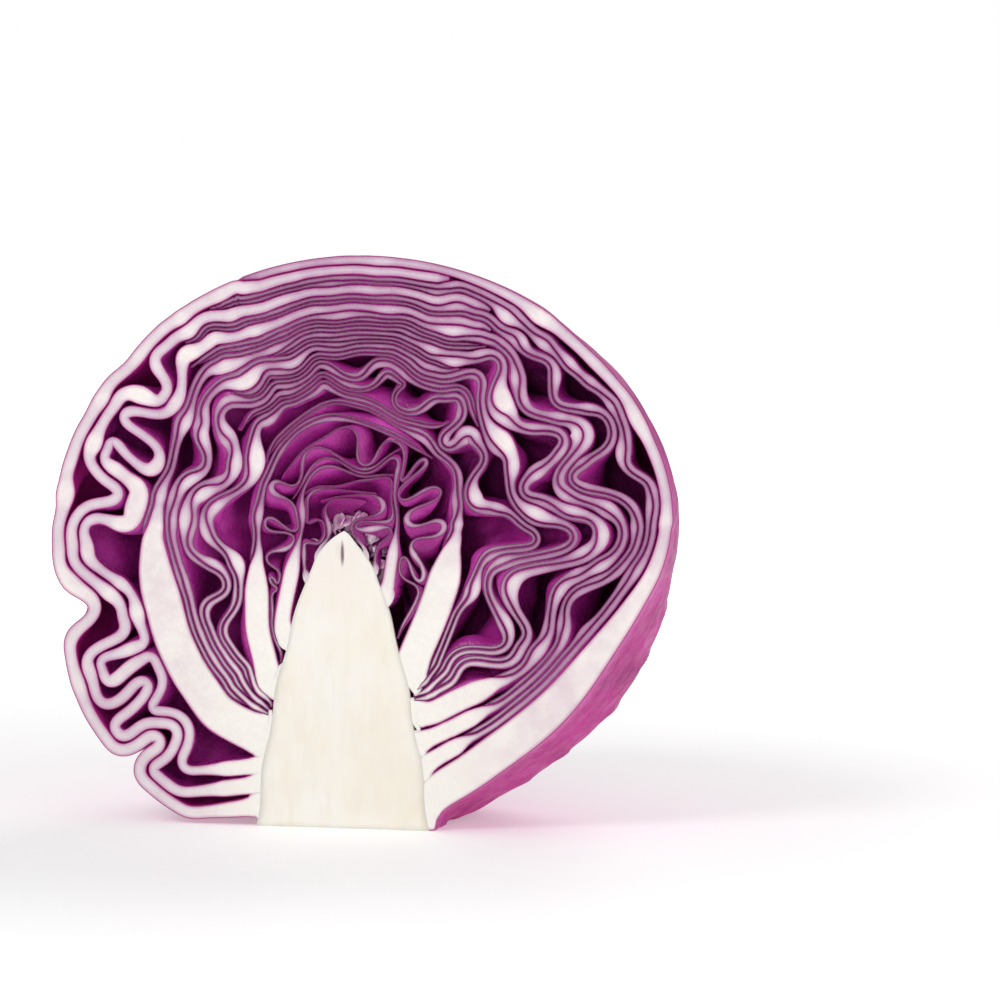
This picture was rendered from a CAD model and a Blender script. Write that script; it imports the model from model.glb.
"""Half of a red cabbage head: folded leaves around a white core, cut flat and standing on its stem.

The leaves are grown, as the plant grows them. In the plane of the cut, each leaf starts as a smooth arc
that springs from the core or lies free between its neighbours. Then it lengthens inside a head that has no
more room, so it buckles and folds against the leaves beside it. Behind the cut, each leaf goes back through
its own earlier states to the smooth cup that it was, so neighbours nest all the way.
"""

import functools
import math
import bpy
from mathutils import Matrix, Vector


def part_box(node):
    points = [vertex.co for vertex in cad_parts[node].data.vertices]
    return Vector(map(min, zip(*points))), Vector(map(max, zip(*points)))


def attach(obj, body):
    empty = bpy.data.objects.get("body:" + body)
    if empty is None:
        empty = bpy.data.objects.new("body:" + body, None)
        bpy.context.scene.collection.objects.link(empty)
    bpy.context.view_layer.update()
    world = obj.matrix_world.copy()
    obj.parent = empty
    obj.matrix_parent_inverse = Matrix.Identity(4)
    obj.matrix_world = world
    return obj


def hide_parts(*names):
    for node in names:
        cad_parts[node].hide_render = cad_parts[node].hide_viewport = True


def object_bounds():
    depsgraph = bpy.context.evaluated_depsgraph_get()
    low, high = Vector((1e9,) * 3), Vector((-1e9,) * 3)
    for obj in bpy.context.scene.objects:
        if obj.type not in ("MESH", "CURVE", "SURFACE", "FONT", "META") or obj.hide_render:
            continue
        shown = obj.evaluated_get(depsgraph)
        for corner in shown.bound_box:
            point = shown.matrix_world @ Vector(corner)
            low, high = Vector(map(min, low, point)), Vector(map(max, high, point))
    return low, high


bl_info = {
    "name": "Halved Red Cabbage",
    "version": (1, 0, 0),
    "blender": (4, 5, 0),
    "location": "View3D > Sidebar > Cabbage",
    "description": "Grows the leaves, core and heart of a halved red cabbage head",
    "category": "Object",
}

from collections import namedtuple

import bmesh
import bpy
import numpy as np
from mathutils import Vector, noise

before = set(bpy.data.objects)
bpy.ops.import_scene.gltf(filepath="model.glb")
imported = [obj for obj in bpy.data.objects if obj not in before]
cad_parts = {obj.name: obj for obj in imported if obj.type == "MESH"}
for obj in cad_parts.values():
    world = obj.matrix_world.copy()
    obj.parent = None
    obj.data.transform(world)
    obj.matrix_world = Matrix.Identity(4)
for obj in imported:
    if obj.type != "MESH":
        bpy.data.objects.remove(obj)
CAD_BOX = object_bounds()

MM = 0.001  # one millimetre, in metres

# The head as the frame gives it: the cut's plane, the core's axis and the head's middle.
CUT_Y = CAD_BOX[0][1] / MM
CORE_LOW, CORE_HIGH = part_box("core")
CORE_X = (CORE_LOW[0] + CORE_HIGH[0]) / 2 / MM
CORE_TOP = CORE_HIGH[2] / MM
CORE_OFFSET = -4.0  # the core's axis from the head's middle
MIDDLE_X = CORE_X - CORE_OFFSET
CORE_PROFILE = [(22, 0), (21, 8), (19, 22), (16, 38), (12.5, 52), (9, 62), (5, 70), (0, CORE_TOP)]

LOBES = 0.012  # the leaves' broad waves, as a share
SWELLINGS = [
    ((0.8, 0.5, -0.42), 0.075, 0.5),  # right shoulder: towards, rise as a share, spread in radians
    ((0, 0.6, -0.8), 0.13, 0.45),  # heel
]
OUTLINE_CHANGES = [
    (-45, 38, -0.15),  # right side's heel, drawn in: angle up from the side and width in degrees, rise
    (-137, 22, 0.06),  # left side's rolled folds
]
OUTLINE_FADE = 0.35  # radians behind the cut


def linear(colour):
    """An sRGB hex colour as linear red, green, blue."""
    parts = [int(colour[i : i + 2], 16) / 255 for i in (1, 3, 5)]
    return [c / 12.92 if c <= 0.04045 else ((c + 0.055) / 1.055) ** 2.4 for c in parts]


class HeadSizes(bpy.types.PropertyGroup):
    """The head's own sizes."""

    half_width: bpy.props.FloatProperty(
        name="Half width", description="Middle of the head to each side", default=0.0785, unit="LENGTH"
    )
    depth: bpy.props.FloatProperty(
        name="Depth", description="Cut face to the back of the head", default=0.077, unit="LENGTH"
    )
    crown_height: bpy.props.FloatProperty(
        name="Crown height", description="Middle of the head to its crown", default=0.070, unit="LENGTH"
    )
    keel_depth: bpy.props.FloatProperty(
        name="Keel depth",
        description="Middle of the head to where its underside would end, were it not flat",
        default=0.079,
        unit="LENGTH",
    )
    centre_height: bpy.props.FloatProperty(
        name="Centre height", description="Middle of the head above the table", default=0.072, unit="LENGTH"
    )
    seed: bpy.props.IntProperty(name="Seed", description="Fixes where each leaf folds", default=7)


class LeafColours(bpy.types.PropertyGroup):
    """The colours of skin and flesh."""

    flesh: bpy.props.FloatVectorProperty(
        name="Flesh", description="Thick cut flesh", subtype="COLOR", size=3, default=linear("#F0E9E6")
    )
    skin: bpy.props.FloatVectorProperty(
        name="Skin",
        description="Skin of the inner leaves",
        subtype="COLOR",
        size=3,
        default=linear("#9C1E80"),
    )
    skin_line: bpy.props.FloatVectorProperty(
        name="Skin line",
        description="Skin where the knife crosses it",
        subtype="COLOR",
        size=3,
        default=linear("#5C0C46"),
    )
    outer_skin: bpy.props.FloatVectorProperty(
        name="Outer skin",
        description="Skin of the outermost leaves",
        subtype="COLOR",
        size=3,
        default=linear("#B81484"),
    )
    outer_vein: bpy.props.FloatVectorProperty(
        name="Outer veins",
        description="Pale veins of the outermost leaves",
        subtype="COLOR",
        size=3,
        default=linear("#D260AE"),
    )
    core: bpy.props.FloatVectorProperty(
        name="Core", description="Cut flesh of the core", subtype="COLOR", size=3, default=linear("#F4F0E9")
    )


# How each leaf grows, in millimetres and growth factors, from the outermost leaf to the heart.
# near: share of the head's radius on the leaf's own side; root: height of its foot on the core, 0 if it
# lies free; base, lamina: thickness at the foot and in the blade; lining: thickness of the thin blade that
# lies against it; rib: length of the thick rib; low, mid, crown: how much the blade lengthens below, beside
# and above the heart; reach: angle of its tip.
Leaf = namedtuple("Leaf", "side near root base lamina lining rib low mid crown reach")
RIGHT, LEFT = 1, -1
LEAVES = [
    Leaf(RIGHT, 0.965, 5.0, 9.5, 2.9, 0.0, 105, 1.00, 1.00, 1.03, 118),
    Leaf(LEFT, 0.945, 5.0, 4.4, 3.3, 0.0, 20, 2.20, 1.50, 1.02, 112),
    Leaf(RIGHT, 0.885, 15.0, 4.5, 1.6, 1.2, 22, 1.40, 1.60, 1.08, 122),
    Leaf(LEFT, 0.860, 10.5, 4.4, 3.0, 0.0, 20, 2.60, 2.30, 1.08, 118),
    Leaf(RIGHT, 0.800, 21.0, 4.5, 1.5, 1.1, 30, 1.40, 1.90, 1.08, 128),
    Leaf(LEFT, 0.770, 15.0, 4.2, 2.6, 0.0, 20, 3.00, 2.60, 1.08, 120),
    Leaf(RIGHT, 0.715, 28.0, 6.0, 1.6, 1.2, 34, 1.30, 2.00, 1.08, 130),
    Leaf(LEFT, 0.630, 22.5, 10.0, 1.4, 1.2, 82, 1.00, 1.30, 1.08, 125),
    Leaf(RIGHT, 0.640, 0, 1.7, 1.6, 1.2, 8, 1.90, 2.10, 1.08, 113),
    Leaf(LEFT, 0.555, 0, 1.7, 1.6, 1.2, 8, 1.80, 1.60, 1.08, 120),
    Leaf(RIGHT, 0.560, 0, 1.5, 1.4, 1.1, 8, 2.00, 2.20, 1.08, 125),
    Leaf(LEFT, 0.465, 0, 1.6, 1.5, 1.2, 8, 1.90, 1.65, 2.20, 125),
    Leaf(RIGHT, 0.470, 0, 1.3, 1.2, 1.1, 8, 2.10, 2.20, 2.40, 120),
    Leaf(LEFT, 0.365, 0, 1.5, 1.4, 1.1, 8, 1.80, 1.60, 2.40, 120),
    Leaf(RIGHT, 0.365, 38.0, 8.5, 1.2, 1.0, 50, 1.00, 1.10, 2.40, 120),
    Leaf(LEFT, 0.250, 36.0, 6.5, 1.2, 1.0, 44, 1.00, 1.10, 2.40, 120),
    Leaf(RIGHT, 0.255, 0, 0.9, 0.8, 0.0, 8, 4.20, 3.80, 3.20, 115),
    Leaf(LEFT, 0.195, 0, 0.9, 0.8, 0.0, 8, 3.40, 3.20, 3.20, 110),
    Leaf(RIGHT, 0.150, 57.0, 3.2, 0.9, 0.0, 22, 1.00, 1.20, 3.20, 110),
    Leaf(LEFT, 0.140, 47.0, 4.2, 0.9, 0.0, 32, 1.00, 1.20, 3.20, 110),
    Leaf(RIGHT, 0.105, 63.0, 1.2, 0.6, 0.0, 5, 2.60, 3.00, 3.00, 100),
    Leaf(LEFT, 0.095, 61.0, 1.2, 0.6, 0.0, 5, 2.60, 3.00, 3.00, 100),
    Leaf(RIGHT, 0.065, 66.5, 1.0, 0.5, 0.0, 4, 2.40, 2.60, 2.60, 95),
    Leaf(LEFT, 0.060, 66.0, 1.0, 0.5, 0.0, 4, 2.40, 2.60, 2.60, 95),
]
NODE_LEAVES = 20  # the rest belong to the heart bud
CROWN_SHARES = np.interp(np.arange(len(LEAVES)), [0, 9, 17, 23], [0.968, 0.680, 0.270, 0.105])

FILL = 0.93  # share of the room that the leaves come to fill
MOST_EXTRA = 2.6  # most that growth is raised to fill it
VEIN_ALLOWANCE = 0.9  # what veins add to a blade, on average
HEART_ROOM = 4.0  # left free at the heart
RIBBED = 15  # a longer rib is thick and stiff
CROWN_THINNING = 0.3  # how much thinner a blade is over the heart, as a share
CROWN_CALM = 0.75  # how much lower its veins are there
YOUNG_THICKNESS = 0.55  # a leaf's thickness before it grows, as a share of its full thickness
GAINED_THICKNESS = 0.45  # what it gains as it grows
MOST_FLARE = 1.6  # what a foot widens by where it meets the core, on each side
FLARE_LENGTH = 4.0

COARSE = 1.8  # spacing of a leaf's points while it grows
FINE = 0.6  # spacing of a leaf's points in the finished section
LEAF_GAP = 0.15  # between neighbouring skins
GROWTH_STEPS = 160  # steps in which the leaves reach their full length
GROWTH_PASSES = 7  # rounds of pull and push in each step
SETTLE_STEPS = 12  # steps in which the finished, finer curves settle
THIN = 1.4  # half thickness up to which a leaf is sought in small cells
SOUGHT = 1.0  # extra room in those cells
WATCHED = 1.5  # room between two leaves within which they are watched for a touch
PULL = 0.8  # share of a link's wrong length that one pass mends
PUSH = 0.9  # share of an overlap that one pass mends

# How far each leaf has grown at each depth behind the cut, in millimetres at the head's outer surface.
DEPTHS = [0.0, 0.8, 2.0, 3.5, 5.5, 8.0, 11.0, 15.0, 20.0, 26.0, 33.0, 41.0, 50.0, 60.0, 70.0]
GROWN = [1.0, 1.0, 0.99, 0.96, 0.91, 0.83, 0.74, 0.63, 0.51, 0.39, 0.27, 0.16, 0.08, 0.02, 0.0]
DRIFT = 2.6  # how far the folds wander sideways as they run back
DRIFT_DEPTH = 5.0  # depth by which they have wandered most of that way
CUP_SHRINK = 0.03  # how far the cups draw in behind the cut, as a share, to lie inside the outer leaf
# Lines across a cut edge, as shares of the half thickness, and how far the skin's edge draws back from it.
CAP_LINES = [1.0, 0.78, 0.4, 0.0, -0.4, -0.78, -1.0]
RIM_DIP = 0.22


def smooth(low, high, x):
    """0 below low, 1 above high, and an easy rise between."""
    t = np.clip((x - low) / (high - low), 0, 1)
    return t * t * (3 - 2 * t)


def sizes():
    """The head's sizes, in millimetres."""
    head = bpy.context.scene.cabbage_sizes
    names = ("half_width", "depth", "crown_height", "keel_depth", "centre_height")
    return {name: getattr(head, name) / MM for name in names}


def lengths(vectors):
    """Length of each row of an array."""
    return np.sqrt((vectors * vectors).sum(-1))


def normals_of(points):
    """Unit tangents and normals along a curve."""
    tangent = np.gradient(points, axis=0)
    tangent /= lengths(tangent)[:, None] + 1e-9
    return tangent, np.stack([-tangent[:, 1], tangent[:, 0]], 1)


def turned_back(angle, turn):
    """Unit vectors at angles up from the right side, turned back behind the cut."""
    turn = np.broadcast_to(turn, angle.shape)
    return np.stack([np.cos(angle) * np.cos(turn), np.sin(turn), np.sin(angle) * np.cos(turn)], -1)


def in_scene(name, data):
    """A new object, linked to the scene."""
    made = bpy.data.objects.new(name, data)
    bpy.context.scene.collection.objects.link(made)
    return made


def grid_quads(index):
    """The four corners of each cell of a grid of point numbers."""
    return np.stack([index[:-1, :-1], index[:-1, 1:], index[1:, 1:], index[1:, :-1]], -1).reshape(-1, 4)


# ---------------------------------------------------------------- the head's outer surface


@functools.lru_cache(maxsize=1)
def outline_table():
    """Radii of the head's outline in the plane of the cut, at even angles all round."""
    angles = np.linspace(-math.pi, math.pi, 2881)
    return angles, outer_radius(np.stack([np.cos(angles), np.zeros(2881), np.sin(angles)], 1))


def section_radius(angle):
    """Middle of the head to its outline in the plane of the cut, at an angle up from the right side."""
    angles, radii = outline_table()
    return np.interp((angle + math.pi) % (2 * math.pi) - math.pi, angles, radii)


def outer_radius(towards):
    """Middle of the head to its outer surface, along unit vectors."""
    head = sizes()
    x, y, z = towards[..., 0], towards[..., 1], towards[..., 2]
    rise = np.where(z > 0, head["crown_height"], head["keel_depth"])
    oval = 1 / np.sqrt((x / head["half_width"]) ** 2 + (y / head["depth"]) ** 2 + (z / rise) ** 2)
    share = 1 + LOBES * np.sin(5 * np.arctan2(y, x) + 2 * z) * np.hypot(x, y)
    for centre, swell, spread in SWELLINGS:
        centre = np.array(centre) / math.hypot(*centre)
        apart = np.arccos(np.clip(towards @ centre, -1, 1))
        share = share + swell * np.exp(-((apart / spread) ** 2))
    angle = np.degrees(np.arctan2(z, x))
    fade = np.exp(-((np.arcsin(np.clip(y, -1, 1)) / OUTLINE_FADE) ** 2))
    for at, width, rise_share in OUTLINE_CHANGES:
        share = share + rise_share * fade * np.exp(-(((angle - at) / width) ** 4))
    flat = head["centre_height"] / np.maximum(-z, 1e-6)
    return np.where(z < 0, np.minimum(oval * share, flat), oval * share)


def core_half_width(height):
    """Half width of the core at a height, far below zero above its tip."""
    return np.interp(height, [z for _, z in CORE_PROFILE], [r for r, _ in CORE_PROFILE], right=-1e3)


def core_inside(points):
    """How far points of the section lie inside the core's flank, in millimetres."""
    aside = np.abs(points[:, 0] - CORE_OFFSET)
    above = points[:, 1] - CORE_TOP
    flank = core_half_width(np.clip(points[:, 1], 0, CORE_TOP - 0.1)) - aside
    return np.where(above > 0, -np.hypot(aside, above), flank)


# ---------------------------------------------------------------- the leaves before they grow

ANGLES = np.linspace(-math.pi / 2 + 0.02, math.radians(135), 3000)


def even_share(number):
    """Share of the head's radius along a leaf, by its own angle, before its foot is bent to the core."""
    leaf = LEAVES[number]
    other = [one.near for one in LEAVES if one.side != leaf.side] + [0.02]
    rank = number // 2
    if leaf.side == RIGHT:
        far = (other[rank - 1] + other[rank]) / 2 if rank else 0.975
    else:
        far = (other[rank] + other[rank + 1]) / 2
    rising = smooth(math.radians(15), math.radians(70), ANGLES)
    falling = smooth(math.radians(100), math.radians(150), ANGLES)
    share = leaf.near * (1 - rising) + CROWN_SHARES[number] * rising
    return share * (1 - falling) + far * falling


def own_radius(side, angle):
    """Radius of the outline at an angle up from a leaf's own side."""
    return section_radius(angle if side == RIGHT else math.pi - angle)


def section_points(side, angles, shares):
    """Points in the plane of the cut, from the head's middle, at a leaf's own angles and shares."""
    radius = own_radius(side, angles) * shares
    x = side * radius * np.cos(angles) + CORE_OFFSET * (1 - shares)
    return np.stack([x, sizes()["centre_height"] + radius * np.sin(angles)], 1)


def angle_and_share(x, z, side):
    """A point's own angle and share, the other way round."""
    share = 0.5
    for _ in range(30):
        across = (x - CORE_OFFSET * (1 - share)) * side
        up = z - sizes()["centre_height"]
        angle = math.atan2(up, across)
        share = math.hypot(across, up) / float(own_radius(side, angle))
    return angle, share


def starting_shares():
    """Each leaf's share along its angle with its foot in place, and where on ANGLES its foot is."""
    shares = [even_share(number) for number in range(len(LEAVES))]
    first = [0] * len(LEAVES)
    for number, leaf in enumerate(LEAVES):
        if leaf.root:
            x = CORE_OFFSET + leaf.side * (float(core_half_width(leaf.root)) - 1.2)
            angle, share = angle_and_share(x, leaf.root, leaf.side)
            first[number] = int(np.searchsorted(ANGLES, angle))
            foot = 1 - smooth(angle, angle + math.radians(34 if leaf.near > 0.3 else 40), ANGLES)
            shares[number] = shares[number] * (1 - foot) + share * foot
    rooted = [number for number, leaf in enumerate(LEAVES) if leaf.root]
    for number, leaf in enumerate(LEAVES):
        if leaf.root:
            continue
        outside = max(n for n in rooted if n < number and LEAVES[n].side == leaf.side)
        inside = min(n for n in rooted if n > number and LEAVES[n].side == leaf.side)
        spread = LEAVES[outside].near - LEAVES[inside].near
        weight = (LEAVES[outside].near - leaf.near) / spread
        between = shares[outside] * (1 - weight) + shares[inside] * weight
        low = 1 - smooth(math.radians(-5), math.radians(30), ANGLES)
        shares[number] = shares[number] * (1 - low) + between * low
        points = section_points(leaf.side, ANGLES, shares[number])
        room = (shares[outside] - shares[inside]) * own_radius(leaf.side, ANGLES)
        needed = 1.2 + 5 * min(weight, 1 - weight) + (3.5 if leaf.near > 0.3 else 1.5)
        off_core = (points[:, 0] - CORE_OFFSET) * leaf.side - core_half_width(np.clip(points[:, 1], 0, 73.9))
        clear = ((off_core > 2.5) & (room > needed)) | (ANGLES > 0)
        first[number] = int(np.argmax(clear))
    return shares, first


def growth_along(leaf):
    """How much a leaf would lengthen, given room, along ANGLES."""
    degrees = np.degrees(ANGLES)
    low = 1 - smooth(-35, 0, degrees)
    crown = smooth(40, 70, degrees) * (1 - 0.6 * smooth(105, 125, degrees))
    return leaf.low * low + leaf.mid * (1 - low - crown) + leaf.crown * crown


def over_heart(angles):
    """0 beside the heart, and 1 over it."""
    return smooth(math.radians(50), math.radians(75), angles)


def plain_thickness(leaf, along, angles):
    """Thickness of a leaf and of its lining without veins: thick rib, and blades that thin over the heart."""
    crown = over_heart(angles)
    thin_from = leaf.rib * (0.6 if leaf.near < 0.9 else 0.3)
    own = leaf.lamina + (leaf.base - leaf.lamina) * (1 - smooth(thin_from, leaf.rib, along))
    start = max(leaf.rib * 0.8, 2.0)
    lining = leaf.lining * smooth(start, start + 4, along) * smooth(0.5, 5, along[-1] - along)
    thin = 1 - CROWN_THINNING * crown
    return own * thin, lining * thin


def sprout(number, shares, first):
    """A leaf's smooth path before it folds, with its own angles, its lengths along it and its growth."""
    leaf = LEAVES[number]
    last = int(np.searchsorted(ANGLES, math.radians(leaf.reach)))
    angles = ANGLES[first:last]
    path = section_points(leaf.side, ANGLES, shares)[first:last]
    along = np.r_[0, np.cumsum(lengths(np.diff(path, axis=0)))]
    growth = growth_along(leaf)[first:last]
    held = leaf.rib * 0.7 if leaf.rib > RIBBED else 3
    growth = 1 + (growth - 1) * smooth(held, max(leaf.rib * 1.1, 10), along)
    return {"angles": angles, "path": path, "along": along, "growth": growth}


def fit_growth(sprouts):
    """Scale the leaves' growth so that, all round the head, they come to fill the room that they have."""
    bins = np.radians(np.arange(-180, 181, 3.0))
    taken, extra = np.zeros(len(bins)), np.full(len(bins), 0.5)
    for leaf, one in zip(LEAVES, sprouts):
        crown = over_heart(one["angles"])
        thick = sum(plain_thickness(leaf, one["along"], one["angles"]))
        thick = thick + LEAF_GAP + VEIN_ALLOWANCE * (1 - CROWN_CALM * crown)
        around = one["angles"] if leaf.side == RIGHT else math.pi - one["angles"]
        for turn in (-2 * math.pi, 0):
            order = slice(None) if leaf.side == RIGHT else slice(None, None, -1)
            at = (around + turn)[order]
            taken += np.interp(bins, at, thick[order], 0, 0)
            extra += np.interp(bins, at, (thick * (one["growth"] - 1))[order], 0, 0)
    radius = section_radius(bins)
    steps = np.linspace(0, 1, 200)[:, None] * radius
    rays = np.stack([steps * np.cos(bins), sizes()["centre_height"] + steps * np.sin(bins)], -1)
    in_core = (core_inside(rays.reshape(-1, 2)).reshape(steps.shape) > 0).sum(0) / 200
    room = radius * (1 - in_core) - HEART_ROOM
    factor = np.clip((FILL * room - taken) / extra, 0, MOST_EXTRA)
    factor = eased(factor)
    for leaf, one in zip(LEAVES, sprouts):
        around = one["angles"] if leaf.side == RIGHT else math.pi - one["angles"]
        around = (around + math.pi) % (2 * math.pi) - math.pi
        above_foot = smooth(math.radians(-40), math.radians(-5), one["angles"])
        scale = 1 + (np.interp(around, bins, factor) - 1) * above_foot
        one["growth"] = 1 + (one["growth"] - 1) * scale


def seedling(number, one, rng):
    """A leaf's starting curve: points, half thicknesses, spacings, and how stiff a rib each point is."""
    leaf = LEAVES[number]
    path, along, angles = one["path"], one["along"], one["angles"]
    steps = np.diff(along)
    knots = rng.uniform(0.5, 1.5, int(along[-1] / 12) + 3)
    growth = 1 + (one["growth"] - 1) * np.interp(along, np.linspace(0, along[-1], len(knots)), knots)
    grown = np.r_[0, np.cumsum(steps * (growth[:-1] + growth[1:]) / 2)]
    spacing = min(COARSE, max(0.9, leaf.lamina * 1.25))
    count = int(round(grown[-1] / spacing))
    even = np.linspace(0, grown[-1], count)
    at = np.interp(even, grown, along)
    points = np.stack([np.interp(at, along, path[:, axis]) for axis in (0, 1)], 1)
    fine = np.linspace(0, grown[-1], int(grown[-1] / 0.25) + 2)
    fine_along = np.interp(fine, grown, along)
    own, lining = thicknesses(leaf, fine, fine_along, np.interp(fine_along, along, angles), rng)
    spacings = lengths(np.diff(points, axis=0))
    is_ribbed = leaf.rib > RIBBED
    return {
        "points": points,
        "half": np.interp(even, fine, (own + lining) / 2),
        "spacing": np.r_[spacings, spacings[-1]],
        "grown_spacing": np.full(count, spacing),
        "rib": 1 - smooth(leaf.rib * 0.7, leaf.rib * 1.05, at) if is_ribbed else np.zeros(count),
        "length": grown[-1],
        "fine": fine,
        "own": own,
        "lining": lining,
    }


def veins(grown, blade, crown, rng, apart, size):
    """Lens-shaped swellings of a blade, wherever the cut crosses one of its veins."""
    swelling = np.zeros(len(grown))
    place = rng.uniform(4, 12)
    while place < grown[-1] - 5:
        height = min(rng.gamma(1.5, 0.9), 3.4) * size
        width = rng.uniform(2.0, 3.8) + 0.8 * height
        swelling += height * np.exp(-(((grown - place) / width) ** 2)) * blade
        place += rng.uniform(*apart)
    return swelling * (1 - CROWN_CALM * crown)


def thicknesses(leaf, grown, along, angles, rng):
    """Thickness of a leaf and of its lining, along it, with veins and thin ends."""
    crown = over_heart(angles)
    blade = smooth(0, 3, along - leaf.rib * 0.9) if leaf.rib > RIBBED else np.ones(len(grown))
    own, lining = plain_thickness(leaf, along, angles)
    blade = blade * (0.15 + 0.85 * smooth(math.radians(-40), math.radians(-12), angles))
    size = min(1.1, leaf.lamina / 1.5) * (0.5 if 0.8 < leaf.near else 1)
    own = own + veins(grown, blade, crown, rng, (7, 24), size)
    own = own * (0.4 + 0.6 * np.minimum(1, (grown[-1] - grown + 0.5) / 5))
    if not leaf.root:
        own = own * (0.4 + 0.6 * np.minimum(1, (grown + 0.5) / 5))
    if leaf.lining:
        start = max(leaf.rib * 0.8, 2.0)
        ends = smooth(start, start + 4, along) * smooth(0.5, 5, grown[-1] - grown)
        lining = lining + veins(grown, blade, crown, rng, (12, 34), 0.65) * ends
    return own, lining


# ---------------------------------------------------------------- growth in the plane of the cut


def near_pairs(points, others, cell):
    """Indices of points and others that lie in the same or touching square cells."""
    low = np.minimum(points.min(0), others.min(0))
    width = int((max(points[:, 0].max(), others[:, 0].max()) - low[0]) / cell) + 4

    def cell_of(xz):
        column, row = (np.floor((xz[:, axis] - low[axis]) / cell).astype(np.int64) + 1 for axis in (0, 1))
        return row * width + column

    cells, other_cells = cell_of(points), cell_of(others)
    order = np.argsort(other_cells, kind="stable")
    in_order = other_cells[order]
    found, found_others = [], []
    for row in (-1, 0, 1):
        first = np.searchsorted(in_order, cells + row * width - 1, "left")
        last = np.searchsorted(in_order, cells + row * width + 1, "right")
        count = last - first
        start = np.repeat(first - np.r_[0, np.cumsum(count)[:-1]], count)
        found.append(np.repeat(np.arange(len(points)), count))
        found_others.append(order[start + np.arange(count.sum())])
    return np.concatenate(found), np.concatenate(found_others)


def thickening(grown):
    """A leaf's thickness as a share of its full thickness, by how far it has grown."""
    return YOUNG_THICKNESS + GAINED_THICKNESS * grown


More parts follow.
